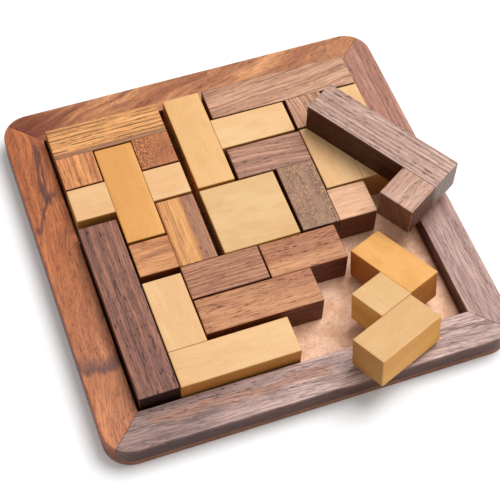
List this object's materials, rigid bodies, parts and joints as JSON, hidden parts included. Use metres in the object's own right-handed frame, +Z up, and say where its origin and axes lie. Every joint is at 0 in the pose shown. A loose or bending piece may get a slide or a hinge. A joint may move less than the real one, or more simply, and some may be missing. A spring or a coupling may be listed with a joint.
{
  "type": "packing puzzle",
  "caption": "Square wooden tray of mitred rails holding a packing puzzle of polyomino pieces glued up from dark and light wood blocks, some lying loose on top.",
  "frame": {"origin": "middle of the tray's underside", "axes": "+X to the right rail, +Y to the back rail, +Z up out of the well"},
  "size_m": [0.1656, 0.1703, 0.0315],
  "materials": {
    "rail_rosewood_orange": "oiled and sanded satin",
    "rail_rosewood_red": "oiled and sanded satin",
    "rail_rosewood_grey": "oiled and sanded satin",
    "panel_board": "sanded, stained brown on its edge",
    "striped_gold": "sanded satin",
    "gold": "sanded satin",
    "cream": "sanded satin",
    "dark_rosewood": "sanded satin",
    "grey_brown": "sanded satin",
    "red_brown": "sanded satin",
    "pink_brown": "sanded satin",
    "tan": "sanded satin"
  },
  "bodies": {
    "tray": {"base_panel": "panel_board", "rail_left": "rail_rosewood_orange", "rail_right": "rail_rosewood_red", "rail_front": "rail_rosewood_grey", "rail_back": "rail_rosewood_red"},
    "u_piece": {"u_bar": "striped_gold", "u_left_arm": "red_brown", "u_right_arm": "grey_brown"},
    "x_piece": {"x_bar": "gold", "x_left_arm": "cream", "x_right_arm": "cream"},
    "i_piece": {"i_bar": "dark_rosewood"},
    "t_piece": {"t_bar": "cream", "t_stem": "cream"},
    "y_piece": {"y_bar": "pink_brown", "y_tab": "pink_brown"},
    "p_piece": {"p_long_bar": "cream", "p_short_bar": "cream"},
    "z_piece": {"z_back_bar": "grey_brown", "z_side_bar": "grey_brown", "z_foot": "tan"},
    "o_piece": {"o_square": "cream"},
    "f_piece": {"f_bar": "striped_gold", "f_arm": "red_brown", "f_foot_bar": "red_brown"},
    "n_piece": {"n_long_bar": "pink_brown", "n_short_bar": "red_brown"},
    "v_piece": {"v_front_bar": "cream", "v_side_bar": "cream"},
    "l_piece": {"l_bar": "grey_brown", "l_foot": "pink_brown"},
    "w_piece": {"w_far_bar": "gold", "w_middle": "cream", "w_near_bar": "cream"}
  },
  "joints": [
    {"name": "u_lift", "type": "slide", "parent": "tray", "child": "u_piece", "axis": [0, 0, 1], "range_m": [0, 0.03]},
    {"name": "x_lift", "type": "slide", "parent": "tray", "child": "x_piece", "axis": [0, 0, 1], "range_m": [0, 0.03]},
    {"name": "i_lift", "type": "slide", "parent": "tray", "child": "i_piece", "axis": [0, 0, 1], "range_m": [0, 0.03]},
    {"name": "t_lift", "type": "slide", "parent": "tray", "child": "t_piece", "axis": [0, 0, 1], "range_m": [0, 0.03]},
    {"name": "y_lift", "type": "slide", "parent": "tray", "child": "y_piece", "axis": [0, 0, 1], "range_m": [0, 0.03]},
    {"name": "p_lift", "type": "slide", "parent": "tray", "child": "p_piece", "axis": [0, 0, 1], "range_m": [0, 0.03]},
    {"name": "z_lift", "type": "slide", "parent": "tray", "child": "z_piece", "axis": [0, 0, 1], "range_m": [0, 0.03]},
    {"name": "o_lift", "type": "slide", "parent": "tray", "child": "o_piece", "axis": [0, 0, 1], "range_m": [0, 0.03]},
    {"name": "f_lift", "type": "slide", "parent": "tray", "child": "f_piece", "axis": [0, 0, 1], "range_m": [0, 0.03]},
    {"name": "n_lift", "type": "slide", "parent": "tray", "child": "n_piece", "axis": [0, 0, 1], "range_m": [0, 0.03]},
    {"name": "v_lift", "type": "slide", "parent": "tray", "child": "v_piece", "axis": [0, 0, 1], "range_m": [0, 0.03]},
    {"name": "l_lift", "type": "slide", "parent": "tray", "child": "l_piece", "axis": [0, 0, 1], "range_m": [0, 0.05]},
    {"name": "w_lift", "type": "slide", "parent": "tray", "child": "w_piece", "axis": [0, 0, 1], "range_m": [0, 0.05]}
  ],
  "couplings": [
    {"joint": "p_lift", "follows": "l_lift", "ratio": 0.6},
    {"joint": "y_lift", "follows": "l_lift", "ratio": 0.6}
  ]
}
